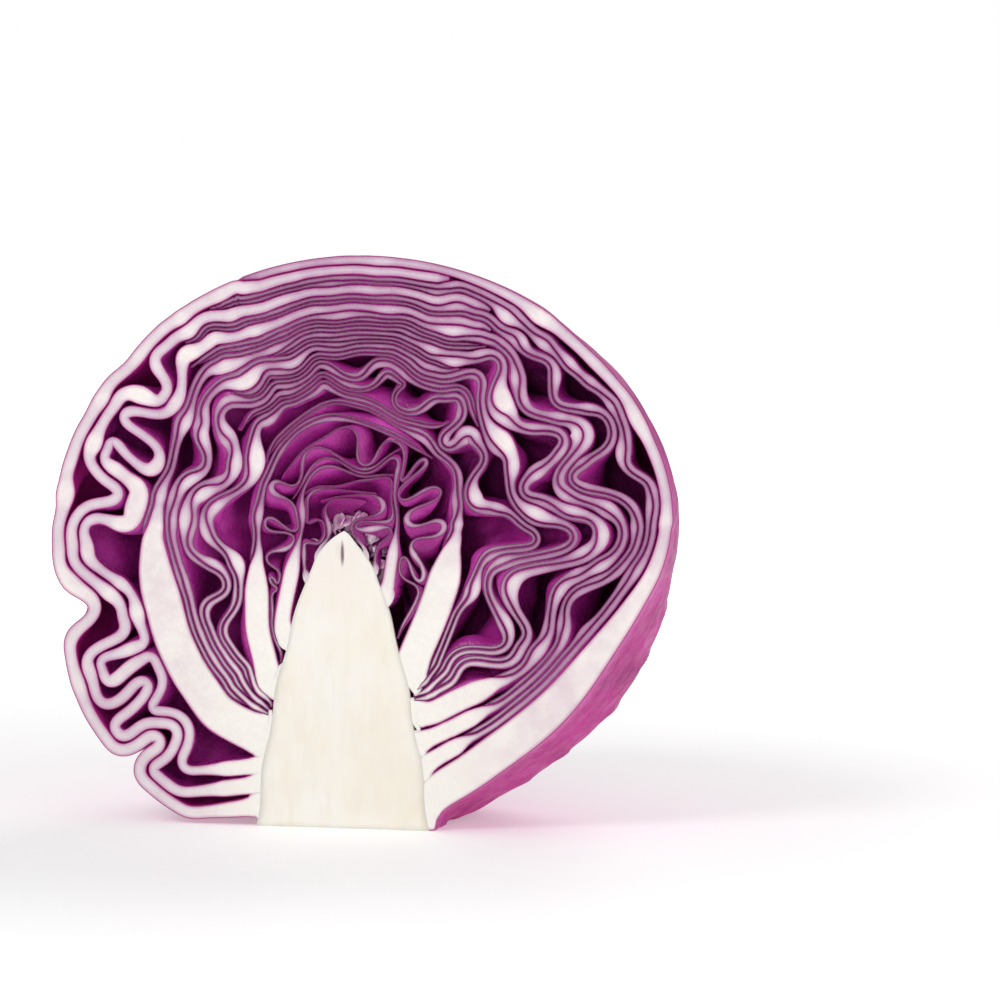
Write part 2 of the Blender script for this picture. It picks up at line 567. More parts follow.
class Section:
    """All leaves' curves in the plane of the cut, as one set of points."""

    def __init__(self, leaves):
        self.points = np.concatenate([leaf["points"] for leaf in leaves])
        self.half = np.concatenate([leaf["half"] for leaf in leaves])
        self.spacing = np.concatenate([leaf["spacing"] for leaf in leaves])
        self.grown_spacing = np.concatenate([leaf["grown_spacing"] for leaf in leaves])
        self.rib = np.concatenate([leaf["rib"] for leaf in leaves])
        counts = [len(leaf["points"]) for leaf in leaves]
        self.start = np.r_[0, np.cumsum(counts)]
        self.leaf = np.repeat(np.arange(len(leaves)), counts)
        self.free = np.ones(len(self.points))
        self.in_core = np.zeros(len(self.points), bool)
        for number, leaf in enumerate(leaves):
            if LEAVES[number].root:
                first, spacing = self.start[number], leaf["grown_spacing"][0]
                self.free[first : first + max(2, int(round(4 / spacing)))] = 0
                depth = LEAVES[number].base * 0.8 + 3
                self.in_core[first : first + int(round(depth / spacing))] = True
        self.foot = np.where(self.free == 0)[0]
        self.foot_points = self.points[self.foot].copy()
        self.give = self.free / (0.35 + self.half)  # thin leaves give way more than thick ones
        index = np.arange(len(self.points) - 1)
        self.links = index[self.leaf[:-1] == self.leaf[1:]]

    def clearance(self):
        """Each point's distance to the nearest point of another leaf."""
        nearest = np.full(len(self.points), np.inf)
        for start, end in zip(self.start, self.start[1:]):
            apart = self.points[start:end, None] - self.points[None]
            apart = np.sqrt((apart * apart).sum(2))
            apart[:, start:end] = np.inf
            nearest[start:end] = apart.min(1)
        return nearest

    def contacts(self, rest):
        """Points and the links that they may touch."""
        links = self.links
        middle = (self.points[links] + self.points[links + 1]) / 2
        link_half = np.maximum(self.half[links], self.half[links + 1])
        margin = LEAF_GAP + SOUGHT + rest.max() / 2
        thin, thick = np.where(self.half <= THIN)[0], np.where(self.half > THIN)[0]
        thin_links, thick_links = np.where(link_half <= THIN)[0], np.where(link_half > THIN)[0]
        wide = self.half.max() + THIN + margin + 2
        pairs = []
        for which, which_links, cell in (
            (thin, thin_links, 2 * THIN + margin),
            (thick, np.arange(len(links)), wide),
            (thin, thick_links, wide),
        ):
            a, b = near_pairs(self.points[which], middle[which_links], cell)
            pairs.append((which[a], which_links[b]))
        point = np.concatenate([pair[0] for pair in pairs])
        link = np.concatenate([pair[1] for pair in pairs])
        apart = lengths(self.points[point] - middle[link])
        reach = self.half[point] + link_half[link] + LEAF_GAP
        link = links[link]
        along = (np.abs(link + 0.5 - point) - 0.5) * rest[point]
        is_beside = (self.leaf[point] == self.leaf[link]) & (along < reach * 1.35 + 0.4)
        keep = (apart < reach + rest[point] / 2 + WATCHED) & ~is_beside
        return point[keep], link[keep]

    def stretch(self, rest):
        """Bring each link towards its length."""
        for odd in (0, 1):
            a = self.links[self.links % 2 == odd]
            b = a + 1
            link = self.points[b] - self.points[a]
            length = lengths(link) + 1e-9
            give = self.free[a] + self.free[b] + 1e-9
            pull = link * ((length - rest[a]) / length * PULL / give)[:, None]
            self.points[a] += pull * self.free[a][:, None]
            self.points[b] -= pull * self.free[b][:, None]

    def straighten(self, stencils):
        """Resist bending, over short and long spans; ribs resist more."""
        move = np.zeros_like(self.points)
        for first, span, stiffness in stencils:
            middle, last = first + span, first + 2 * span
            chord = (self.points[first] + self.points[last]) / 2 - self.points[middle]
            chord *= stiffness[middle][:, None]
            move[middle] += chord * 0.5
            move[first] -= chord * 0.25
            move[last] -= chord * 0.25
        self.points += move * self.free[:, None]

    def part(self, point, link):
        """Push apart leaves that press into each other."""
        start, end = self.points[link], self.points[link + 1]
        across = end - start
        offset = self.points[point] - start
        along = np.clip((offset * across).sum(1) / ((across * across).sum(1) + 1e-9), 0, 1)
        gap = offset - across * along[:, None]
        apart = lengths(gap) + 1e-9
        reach = self.half[point] + self.half[link] * (1 - along) + self.half[link + 1] * along + LEAF_GAP
        touching = apart < reach
        point, link, along = point[touching], link[touching], along[touching]
        normal = gap[touching] / apart[touching][:, None]
        shares = ((point, 1.0, 1), (link, 1 - along, -1), (link + 1, along, -1))
        give = sum(self.give[which] * share**2 for which, share, _ in shares)
        push = (reach - apart)[touching] / (give + 1e-9) * PUSH
        count = len(self.points)
        move = np.zeros_like(self.points)
        touches = np.zeros(count)
        for which, share, sign in shares:
            share = np.broadcast_to(share, which.shape)
            touches += np.bincount(which, share, count)
            for axis in (0, 1):
                weight = sign * push * self.give[which] * share * normal[:, axis]
                move[:, axis] += np.bincount(which, weight, count)
        self.points += move / (np.maximum(touches, 1) ** 0.6)[:, None]

    def contain(self):
        """Keep the leaves inside the head, above the table and out of the core."""
        x, height = self.points[:, 0], self.points[:, 1]
        centre = sizes()["centre_height"]
        radius = np.hypot(x, height - centre)
        limit = section_radius(np.arctan2(height - centre, x)) - self.half - 0.1
        outside = (radius > limit) & (self.free > 0)
        shrink = (limit / radius)[outside]
        x[outside] *= shrink
        height[outside] = centre + (height[outside] - centre) * shrink
        height[:] = np.where(self.free > 0, np.maximum(height, self.half + 0.1), height)
        clear = core_half_width(height) + self.half + 0.2
        from_axis = x - CORE_OFFSET
        inside = (np.abs(from_axis) < clear) & (self.free > 0) & ~self.in_core
        x[inside] = CORE_OFFSET + np.sign(from_axis[inside]) * clear[inside]
        self.points[self.foot] = self.foot_points

    def grow(self, steps, passes, bends, keep_at=(), young=True):
        """Lengthen and thicken the leaves step by step, and return the points at the steps asked for."""
        index = np.arange(len(self.points))
        stencils = []
        for span, soft, rib in bends:
            first = index[: len(index) - 2 * span]
            first = first[self.leaf[first] == self.leaf[first + 2 * span]]
            stencils.append((first, span, soft + rib * self.rib))
        kept = {}
        full = self.half
        for step in range(steps + 1):
            if young:
                self.half = full * thickening(step / steps)
            rest = self.spacing + (self.grown_spacing - self.spacing) * step / steps
            point, link = self.contacts(rest)
            for _ in range(passes):
                self.stretch(rest)
                self.straighten(stencils)
                self.part(point, link)
                self.contain()
            if step in keep_at:
                kept[step] = self.points.copy()
        return kept


def even_curve(points, count):
    """Evenly spaced points on a smooth curve through the points given."""
    ends = [2 * points[0] - points[1]], points, [2 * points[-1] - points[-2]]
    joined = np.concatenate(ends)
    a, b, c, d = (joined[i : len(joined) - 3 + i, None] for i in range(4))
    t = np.linspace(0, 1, 9)[:-1, None]
    dense = 0.5 * (2 * b + (c - a) * t + (2 * a - 5 * b + 4 * c - d) * t**2 + (3 * b - a - 3 * c + d) * t**3)
    dense = np.concatenate([dense.reshape(-1, 2), points[-1:]])
    along = np.r_[0, np.cumsum(lengths(np.diff(dense, axis=0)))]
    even = np.linspace(0, along[-1], count)
    return np.stack([np.interp(even, along, dense[:, axis]) for axis in (0, 1)], 1)


def wobble(rng, count, width, height):
    """A smooth random wave along the points."""
    kernel = np.exp(-(np.linspace(-2, 2, width) ** 2))
    kernel /= math.sqrt((kernel**2).sum())
    return height * np.convolve(rng.normal(size=count), kernel, "same")


@functools.lru_cache(maxsize=1)
def grown_leaves():
    """Each leaf as a dict: its half thicknesses, and its points at each of GROWN's states."""
    rng = np.random.default_rng(bpy.context.scene.cabbage_sizes.seed)
    shares, first = starting_shares()
    sprouts = [sprout(number, shares[number], first[number]) for number in range(len(LEAVES))]
    fit_growth(sprouts)
    young = [seedling(number, one, rng) for number, one in enumerate(sprouts)]
    section = Section(young)
    _, normal = normals_of(section.points)
    count = len(section.points)
    waves = wobble(rng, count, 3, 0.25) + wobble(rng, count, 9, 0.5)
    waves *= np.clip(section.clearance() / 3 - 0.5, 0, 1)
    section.points += normal * (waves * (1 - section.rib) * section.free)[:, None]
    keep_at = [int(round(grown * GROWTH_STEPS)) for grown in GROWN]
    kept = section.grow(GROWTH_STEPS, GROWTH_PASSES, ((1, 0.4, 0), (2, 0.12, 0.3), (4, 0.03, 0.5)), keep_at)
    fine = []
    for number, leaf in enumerate(young):
        one = slice(section.start[number], section.start[number + 1])
        samples = int(leaf["length"] / FINE)
        points = even_curve(section.points[one], samples)
        even = np.linspace(0, leaf["length"], samples)
        spacing = lengths(np.diff(points, axis=0))
        coarse = np.linspace(0, leaf["length"], len(leaf["rib"]))
        fine.append(
            {
                "points": points,
                "half": np.interp(even, leaf["fine"], leaf["own"] + leaf["lining"]) / 2,
                "lining": np.interp(even, leaf["fine"], leaf["lining"]),
                "spacing": np.r_[spacing, spacing[-1]],
                "grown_spacing": np.r_[spacing, spacing[-1]],
                "rib": np.interp(even, coarse, leaf["rib"]),
                "root": LEAVES[number].root,
                "states": [even_curve(kept[step][one], samples) for step in keep_at],
            }
        )
    settled = Section(fine)
    settled.grow(SETTLE_STEPS, GROWTH_PASSES, ((1, 0.45, 0), (3, 0.05, 0.3)), young=False)
    for number, leaf in enumerate(fine):
        final = settled.points[settled.start[number] : settled.start[number + 1]]
        change = final - leaf["points"]
        if leaf["root"]:
            from_foot = np.arange(len(final)) * FINE
            flare = min(MOST_FLARE, LEAVES[number].base * 0.3)
            leaf["half"] = leaf["half"] + flare * np.exp(-((from_foot / FLARE_LENGTH) ** 2))
        leaf["states"] = [state + change * grown**4 for state, grown in zip(leaf["states"], GROWN)]
    return fine


# ---------------------------------------------------------------- from curves to leaves


def normals_and_room(points, half):
    """Normals of a curve, and how far a skin may lie to each side before it would fold over itself."""
    tangent, normal = normals_of(points)
    turn = np.gradient(np.unwrap(np.arctan2(tangent[:, 1], tangent[:, 0])))
    bend = eased(turn / (lengths(np.gradient(points, axis=0)) + 1e-9))
    rooms = []
    for sign in (1, -1):
        share = np.minimum(1, 0.9 / np.maximum(bend * sign, 1e-3) / np.maximum(half, 1e-3))
        rooms.append(np.minimum(eased(share), share))
    return normal, rooms


def eased(values):
    """Values smoothed over their near neighbours."""
    kernel = np.array([1, 2, 3, 2, 1]) / 9
    return np.convolve(np.pad(values, 2, "edge"), kernel, "valid")


def blade_edges(leaf, state, thick, is_lining):
    """The two skins of a leaf or of its lining, in section, with the first one on the normal's side."""
    half = leaf["half"] * thick
    lining = leaf["lining"] * thick
    normal, (left, right) = normals_and_room(state, half)
    parting = half - lining
    gap = np.where(lining > 0.02, LEAF_GAP / 2, 0)
    high, low = (half, parting + gap) if is_lining else (parting - gap, -half)
    return [state + normal * (reach * np.where(reach > 0, left, right))[:, None] for reach in (high, low)]


def drift(points, back):
    """How far the folds wander sideways as they run back from the cut, in millimetres."""
    x, z = points[..., 0], points[..., 1]
    across = np.sin(x / 9.1 + 0.7 * np.sin(z / 13.0) + 1.3) + 0.7 * np.sin(z / 7.3 + x / 21.0)
    up = np.cos(z / 8.7 + 0.8 * np.sin(x / 11.0)) + 0.7 * np.sin(x / 6.9 - z / 17.0 + 0.4)
    share = np.hypot(x, z - sizes()["centre_height"]) / 75
    off_core = -core_inside(points.reshape(-1, 2)).reshape(x.shape)
    clear = (1 - smooth(0.72, 1.0, share)) * smooth(0, 9, off_core)
    reach = DRIFT * (1 - math.exp(-back / DRIFT_DEPTH)) * clear
    return np.stack([across * reach, up * reach], -1)


def swept(section_xz, depth_angle, shrink=1.0):
    """Points of the section, swept back over the head to an angle behind the cut, in millimetres."""
    centre = sizes()["centre_height"]
    section_xz = section_xz + drift(section_xz, sizes()["depth"] * math.sin(depth_angle))
    x, up = section_xz[..., 0], section_xz[..., 1] - centre
    angle = np.arctan2(up, x)
    share = np.hypot(x, up) / section_radius(angle) * shrink
    towards = turned_back(angle, depth_angle)
    placed = towards * (share * outer_radius(towards))[..., None]
    return placed + np.array([MIDDLE_X, CUT_Y, centre])


def closed_sheet(name, outer, inner, cap, skin_depth, seam_row=None, skin_marks=None):
    """A closed leaf: two skins as grids of rows from the cut to the back, and the cut edge between them.

    outer, inner: (rows, columns, 3); cap: (lines, columns, 3), its first line shared with outer's first
    row and its last with inner's; skin_depth: the cap's depth of flesh under the nearest skin.
    skin_marks: the outer skin's veins and places along the leaf, (rows, columns, 4).
    From seam_row on, each row is a ring whose ends are the same points, and the last row closes in a tip.
    """
    rows, columns = outer.shape[:2]
    lines = np.concatenate([outer[:0:-1], cap, inner[1:]])
    count = len(lines)
    index = np.arange(count * columns).reshape(count, columns)
    depth = np.zeros((2, count, columns))
    depth[0, rows - 1 : rows - 1 + len(cap)] = skin_depth
    depth[1, rows - 1 : rows - 1 + len(cap)] = skin_depth.max(0)
    depth = depth.reshape(2, -1)
    marks = np.zeros((count, columns, 4))
    if skin_marks is not None:
        marks[:rows] = skin_marks[::-1]
    marks = marks.reshape(-1, 4)
    if seam_row is not None:
        for row in range(seam_row, rows):
            for line in (rows - 1 - row, count - rows + row):
                index[line, -1] = index[line, 0]
    quads = [grid_quads(index)]
    faces = []
    open_rows = rows if seam_row is None else seam_row + 1
    for column, flip in ((0, True), (columns - 1, False)):
        front = [index[line, column] for line in range(rows - 2, rows + len(cap))]
        faces.append(front if flip else front[::-1])
        a = [index[rows - 1 - row, column] for row in range(1, open_rows)]
        b = [index[count - rows + row, column] for row in range(1, open_rows)]
        for near_a, far_a, near_b, far_b in zip(a, a[1:], b, b[1:]):
            quad = [near_a, far_a, far_b, near_b]
            faces.append(quad[::-1] if flip else quad)
    points = lines.reshape(-1, 3)
    if seam_row is None:
        back = np.stack([index[0, 1:], index[0, :-1], index[-1, :-1], index[-1, 1:]], -1)
        quads.append(back)
    else:
        tips = []
        for line, flip in ((0, True), (count - 1, False)):
            tips.append(lines[line].mean(0))
            tip = len(points) + len(tips) - 1
            for a, b in zip(index[line], index[line, 1:]):
                faces.append([b, a, tip] if flip else [a, b, tip])
        points = np.concatenate([points, tips])
        depth = np.pad(depth, ((0, 0), (0, 2)))
        marks = np.concatenate([marks, marks[:1], marks[-1:]])
    faces = np.concatenate(quads).tolist() + faces
    faces = [[int(i) for i in dict.fromkeys(face)] for face in faces]
    return leaf_object(name, points, [face for face in faces if len(face) > 2], depth, marks)


def leaf_object(name, points, faces, depth, marks):
    """A mesh object from points in millimetres, faces outward, with the values that its material reads.

    depth: each point's depth under the nearest skin, and half the flesh's thickness there.
    """
    mesh = bpy.data.meshes.new(name)
    mesh.from_pydata((points * MM).tolist(), [], faces)
    marks = np.asarray(marks, np.float32)
    values = {"skin_depth": depth[0], "flesh_half": depth[1], "vein": marks[:, 0]}
    for kind, numbers in values.items():
        mesh.attributes.new(kind, "FLOAT", "POINT").data.foreach_set("value", np.array(numbers, np.float32))
    mesh.attributes.new("on_leaf", "FLOAT_VECTOR", "POINT").data.foreach_set("vector", marks[:, 1:].ravel())
    loose = np.ones(len(points), bool)
    loose[np.unique(np.concatenate([np.asarray(face) for face in faces]))] = False
    if loose.any():
        remove_points(mesh, np.where(loose)[0])
    if signed_volume(mesh) < 0:
        mesh.flip_normals()
    mesh.shade_smooth()
    return in_scene(name, mesh)


def remove_points(mesh, which):
    """Delete points that no face uses."""
    body = bmesh.new()
    body.from_mesh(mesh)
    body.verts.ensure_lookup_table()
    bmesh.ops.delete(body, geom=[body.verts[int(i)] for i in which], context="VERTS")
    body.to_mesh(mesh)
    body.free()


def signed_volume(mesh):
    """Volume inside a closed mesh, negative if its faces point in."""
    mesh.calc_loop_triangles()
    corners = np.zeros(len(mesh.loop_triangles) * 3, np.int32)
    mesh.loop_triangles.foreach_get("vertices", corners)
    points = np.zeros(len(mesh.vertices) * 3)
    mesh.vertices.foreach_get("co", points)
    a, b, c = points.reshape(-1, 3)[corners.reshape(-1, 3)].transpose(1, 0, 2)
    return float((a * np.cross(b, c)).sum() / 6)


def cut_edge(high, low, rounding):
    """Lines across a leaf's cut edge, drawn back at the skins, and their depths under the nearest skin."""
    thickness = lengths(high - low)
    lines, depths = [], []
    for place in CAP_LINES:
        share = (1 + place) / 2
        line = swept(high * share + low * (1 - share), 0.0)
        line[:, 1] += RIM_DIP * abs(place) ** 3 * rounding
        lines.append(line)
        depths.append(thickness * (1 - abs(place)) / 2)
    return np.stack(lines), np.stack(depths)


def folded_blade(name, leaf, is_lining):
    """One blade: its folded cut edge, sweeping back to a smooth cup."""
    span = slice(None)
    if is_lining:
        there = np.where(leaf["lining"] > 0.08)[0]
        span = slice(there[0], there[-1] + 1)
    depth = sizes()["depth"]
    outer, inner = [], []
    for back, grown, state in zip(DEPTHS, GROWN, leaf["states"]):
        turn = math.asin(min(back / depth, 0.999))
        high, low = blade_edges(leaf, state, thickening(grown), is_lining)
        scale = 1 - CUP_SHRINK * float(smooth(0, 0.45, turn))
        outer.append(swept(high[span], turn, scale))
        inner.append(swept(low[span], turn, scale))
    high, low = (edge[span] for edge in blade_edges(leaf, leaf["states"][0], 1, is_lining))
    middle = (high + low) / 2
    is_rooted = leaf["root"] and not is_lining
    merged = smooth(-2.0, 0.2, core_inside(middle)) if is_rooted else np.zeros(len(middle))
    cap, depths = cut_edge(high, low, np.minimum(1, lengths(high - low) / 2) * (1 - merged))
    depths = np.maximum(depths, merged)
    outer[0], inner[0] = cap[0], cap[-1]
    return closed_sheet(name, np.stack(outer), np.stack(inner), cap, depths)


def folded_leaf(name, leaf):
    """A leaf and the lining that lies against it."""
    blades = [folded_blade(name, leaf, False)]
    if leaf["lining"].any():
        blades.append(folded_blade(name + "_lining", leaf, True))
    return join_pieces(name, blades) if len(blades) > 1 else blades[0]


# ---------------------------------------------------------------- the outermost leaf

MARGIN_ENDS = math.radians(50)  # how far behind the cut its margin comes down to the stem
WRAP_ENDS = math.radians(88)  # how far behind the cut its last row lies, before its tip
WRAP_ROWS = 72
ROW_CROWDING = 1.35  # above 1, rows lie closer near the cut
BEHIND_STEM = math.radians(-125)  # where its two edges meet under the head
WRAP_SHARE = 0.985  # its skin's place, as a share of the head's surface
WRAP_HALF = 0.8  # half its thickness behind the cut
BLISTER_HEIGHT = 0.8
SKIN_SINK = 0.5  # how far it sinks to keep its veins inside the head's surface
VEINS = 11
HEAD_RADIUS = 75.0  # turns an angle on the head into a length, near enough for veins
SKIN_RADIUS = 78.0  # the same for the pattern on the skin


def vein_height(towards, side):
    """Height of the raised veins on an outer leaf's skin, in millimetres, from its midrib at the cut."""
    from_stem = np.arccos(np.clip(-towards[..., 2], -1, 1))
    around = np.arctan2(towards[..., 1], towards[..., 0] * side)
    off_midrib = around * np.sin(from_stem) * HEAD_RADIUS
    height = 0.9 * np.exp(-((off_midrib / 4.5) ** 2)) * (1 - smooth(1.4, 2.6, from_stem))
    for vein in range(VEINS):
        starts = 0.24 + 0.2 * vein
        runs = np.maximum(from_stem - starts, 0)
        path = (1.9 - 0.09 * vein) * runs**0.62 + 0.06 * np.sin(7 * from_stem + vein)
        gap = (around - path) * np.sin(from_stem) * HEAD_RADIUS * 0.62
        fade = smooth(0.0, 0.12, runs) * (1 - 0.75 * smooth(0.5, 2.2, around))
        height = height + (0.75 - 0.03 * vein) * np.exp(-((gap / 1.3) ** 2)) * fade
    return height


def blisters(towards):
    """The blade's gentle puckers between its veins, in millimetres."""
    flat = towards.reshape(-1, 3)
    values = [noise.noise(Vector(d) * 5.2) + 0.5 * noise.noise(Vector(d) * 12.0) for d in flat.tolist()]
    return np.array(values).reshape(towards.shape[:-1])


def wrapping_leaf(name, leaf):
    """The outermost leaf: it springs from the stem, wraps the back and closes behind it."""
    points, half = leaf["states"][0], leaf["half"]
    centre = sizes()["centre_height"]
    angle = np.unwrap(np.arctan2(points[:, 1] - centre, points[:, 0]))
    radius = np.hypot(points[:, 0], points[:, 1] - centre)
    limit = section_radius(angle)
    angle = np.maximum.accumulate(angle + np.arange(len(angle)) * 1e-6)
    across = (angle - angle[0]) / (angle[-1] - angle[0])
    turns = WRAP_ENDS * np.linspace(0, 1, WRAP_ROWS) ** ROW_CROWDING
    seam_row = int(np.searchsorted(turns, MARGIN_ENDS))
    margin = np.minimum(1, np.minimum(across, 1 - across) * 60 + 0.35)
    outer, inner, marks = [], [], []
    for row, turn in enumerate(turns):
        behind = float(smooth(math.radians(8), math.radians(24), turn))
        low = angle[0] + (BEHIND_STEM - angle[0]) * behind
        down = float(smooth(0, MARGIN_ENDS, turn))
        high = angle[-1] + (BEHIND_STEM + 2 * math.pi - angle[-1]) * down
        if row < seam_row:
            high += 0.05 * math.sin(9 * turn + 1) * math.sin(math.pi * min(1, turn / MARGIN_ENDS))
        settled = float(smooth(0, math.radians(30), turn))
        here = low + (high - low) * across
        thick = half + (WRAP_HALF - half) * float(smooth(0, math.radians(20), turn))
        if row < seam_row:
            thick = thick * (margin * settled + (1 - settled))
        else:
            thick = np.full(len(half), WRAP_HALF)
        top = (radius + half) / limit
        top = top + (WRAP_SHARE - top) * settled
        towards = turned_back(here, turn)
        reach = outer_radius(towards)
        raised = vein_height(towards, RIGHT)
        relief = raised + BLISTER_HEIGHT * blisters(towards) - SKIN_SINK
        from_stem = np.arccos(np.clip(-towards[:, 2], -1, 1))
        around = np.arctan2(towards[:, 1], towards[:, 0])
        on_leaf = np.stack([around, from_stem, 0 * around], 1) * SKIN_RADIUS * MM
        marks.append(np.concatenate([raised[:, None], on_leaf], 1))
        skin = top * reach + relief * settled
        skin = np.where(towards[:, 2] < 0, np.minimum(skin, centre / np.maximum(-towards[:, 2], 1e-6)), skin)
        for rows, reached in ((outer, skin), (inner, skin - 2 * thick)):
            rows.append(towards * reached[:, None] + np.array([MIDDLE_X, CUT_Y, centre]))
    outer, inner = np.stack(outer), np.stack(inner)
    lines, depths = [], []
    for place in CAP_LINES:
        share = (1 + place) / 2
        line = outer[0] * share + inner[0] * (1 - share)
        line[:, 1] = CUT_Y + RIM_DIP * abs(place) ** 3
        lines.append(line)
        depths.append(half * (1 - abs(place)))
    outer[0], inner[0] = lines[0], lines[-1]
    return closed_sheet(name, outer, inner, np.stack(lines), np.stack(depths), seam_row, np.stack(marks))


# ---------------------------------------------------------------- materials


def add(tree, kind, settings=None, output=0, stops=(), **inputs):
    """Add a node, set its properties, a ramp's stops and its inputs, and return one of its outputs.

    An input goes by its name, with _ for a space, or by _ and its number. A socket given for it is linked
    to it, and a value is set on it. stops: (place, linear colour) in order.
    """
    node = tree.nodes.new(kind)
    for name, value in (settings or {}).items():
        setattr(node, name, value)
    for number, (at, colour) in enumerate(stops):
        elements = node.color_ramp.elements
        element = elements[number] if number < 2 else elements.new(at)
        element.position, element.color = at, (*colour, 1)
    for name, given in inputs.items():
        socket = node.inputs[int(name[1:]) if name[1:].isdigit() else name.replace("_", " ")]
        if isinstance(given, bpy.types.NodeSocket):
            tree.links.new(given, socket)
        else:
            socket.default_value = (*given, 1) if socket.type == "RGBA" else given
    return node.outputs[output] if len(node.outputs) else None


def new_material(name):
    """An empty material with its node tree's Principled shader and output."""
    material = bpy.data.materials.new(name)
    material.use_nodes = True
    tree = material.node_tree
    shader = next(node for node in tree.nodes if node.type == "BSDF_PRINCIPLED")
    return material, tree, shader


# Settings of a Mix node for colours: its factor is input 0, its colours are 6 and 7, and its output is 2.
BLEND = {"data_type": "RGBA"}
TINT = {"data_type": "RGBA", "blend_type": "MULTIPLY"}


def flesh_colour(tree, place, depth, half, line):
    """Moist cut leaf flesh: a thin line of skin, mauve in thin leaves, white in thick, cream by the core."""
    colours = bpy.context.scene.cabbage_colours
    stops = [
        (0.0, linear("#92708E")),
        (0.14, linear("#A482A0")),
        (0.30, linear("#BC9CB6")),
        (0.55, linear("#D6C6D2")),
        (1.0, colours.flesh),
    ]
    how_thick = add(tree, "ShaderNodeMapRange", Value=half, From_Min=0.3, From_Max=2.1)
    body = add(tree, "ShaderNodeValToRGB", stops=stops, _0=how_thick)
    cloud = add(tree, "ShaderNodeTexNoise", Vector=place, Scale=1 / (7.0 * MM), Detail=4.0)
    clouded = add(tree, "ShaderNodeMapRange", Value=cloud, From_Min=0.35, From_Max=0.7, To_Max=0.3)
    body = add(tree, "ShaderNodeMix", TINT, 2, _0=clouded, _6=body, _7=linear("#C79AC0"))
    by_skin = add(tree, "ShaderNodeMapRange", Value=depth, From_Min=1.1, From_Max=0.15, To_Max=0.8)
    blush = add(tree, "ShaderNodeMix", TINT, 2, _0=by_skin, _6=body, _7=linear("#E2A0CA"))
    is_thick = add(tree, "ShaderNodeMapRange", Value=half, From_Min=0.6, From_Max=1.3)
    edge = add(tree, "ShaderNodeMix", BLEND, 2, _0=is_thick, _6=line, _7=linear("#A01A78"))
    past_skin = add(tree, "ShaderNodeMapRange", Value=depth, From_Min=0.10, From_Max=0.36)
    tinted = add(tree, "ShaderNodeMix", BLEND, 2, _0=past_skin, _6=edge, _7=blush)
    deep = add(tree, "ShaderNodeMapRange", Value=depth, From_Min=0.25, From_Max=0.9)
    near_core = core_nearness(tree, place)
    both = add(tree, "ShaderNodeMath", {"operation": "MULTIPLY"}, _0=near_core, _1=deep)
    return add(tree, "ShaderNodeMix", BLEND, 2, _0=both, _6=tinted, _7=colours.core)


def core_nearness(tree, place):
    """1 in the core, falling to 0 a little way out along the ribs and above the core's tip."""
    across = add(tree, "ShaderNodeSeparateXYZ", output="X", _0=place)
    off_axis = add(tree, "ShaderNodeMath", {"operation": "SUBTRACT"}, _0=across, _1=CORE_X * MM)
    aside = add(tree, "ShaderNodeMath", {"operation": "ABSOLUTE"}, _0=off_axis)
    beside = add(tree, "ShaderNodeMapRange", Value=aside, From_Min=0.048, From_Max=0.022)
    height = across.node.outputs["Z"]
    below = add(tree, "ShaderNodeMapRange", Value=height, From_Min=0.080, From_Max=0.045)
    return add(tree, "ShaderNodeMath", {"operation": "MULTIPLY"}, _0=beside, _1=below)


def finish_shader(tree, shader, colour, roughness, height, strength, distance, flesh=None):
    """Link a colour, roughness and bump to the shader, and let light into flesh.

    flesh: how much light passes in, its reach in red, green and blue, and that reach in millimetres.
    """
    tree.links.new(colour, shader.inputs["Base Color"])
    tree.links.new(roughness, shader.inputs["Roughness"])
    bump = add(tree, "ShaderNodeBump", Strength=strength, Distance=distance * MM, Height=height)
    tree.links.new(bump, shader.inputs["Normal"])
    if flesh:
        weight, radius, reach = flesh
        shader.inputs["IOR"].default_value = 1.38  # cells full of water
        shader.inputs["Subsurface Weight"].default_value = weight
        shader.inputs["Subsurface Radius"].default_value = radius
        shader.inputs["Subsurface Scale"].default_value = reach * MM


